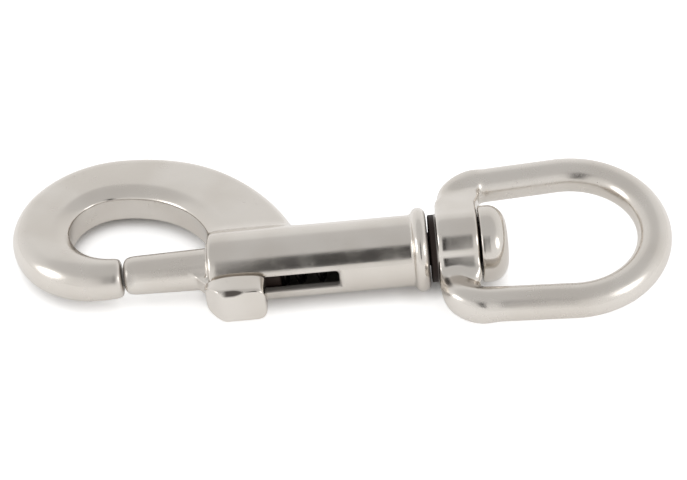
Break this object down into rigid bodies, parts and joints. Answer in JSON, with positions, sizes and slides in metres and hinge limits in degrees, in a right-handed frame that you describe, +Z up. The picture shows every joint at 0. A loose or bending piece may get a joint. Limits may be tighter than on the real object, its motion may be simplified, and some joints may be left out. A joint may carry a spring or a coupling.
{
  "type": "swivel snap hook",
  "caption": "Nickel-plated snap hook: a crook closed by a sprung bolt with a thumb knob, on a barrel whose D-shaped eye swivels.",
  "frame": {"origin": "middle of the part's bounding box, on the surface that it lies on", "axes": "+X along the barrel towards the eye, +Y from the barrel towards the crook, +Z up from the surface that the hook lies on"},
  "size_m": [0.1012, 0.0432, 0.0128],
  "materials": {
    "nickel_body": "polished nickel plate on a zinc casting",
    "nickel_bolt": "polished nickel plate on a zinc casting",
    "spring_steel": "drawn spring wire",
    "nickel_pin": "nickel plate on a steel rivet",
    "nickel_eye": "polished nickel plate on a zinc casting"
  },
  "bodies": {
    "hook": {"hook_body": "nickel_body", "spring": "spring_steel", "swivel_pin": "nickel_pin"},
    "bolt": {"bolt": "nickel_bolt"},
    "eye": {"swivel_eye": "nickel_eye"}
  },
  "joints": [
    {"name": "bolt_slide", "type": "slide", "parent": "hook", "child": "bolt", "axis": [0.9995, 0, 0.0312], "range_m": [0, 0.011], "stiffness_N_per_m": 750, "springref_m": -0.006, "deforming": ["spring"]},
    {"name": "eye_swivel", "type": "hinge", "parent": "hook", "child": "eye", "pos_m": [0.01794, -0.00639, 0.00657], "axis": [0.9995, 0, 0.0312], "continuous": true}
  ]
}
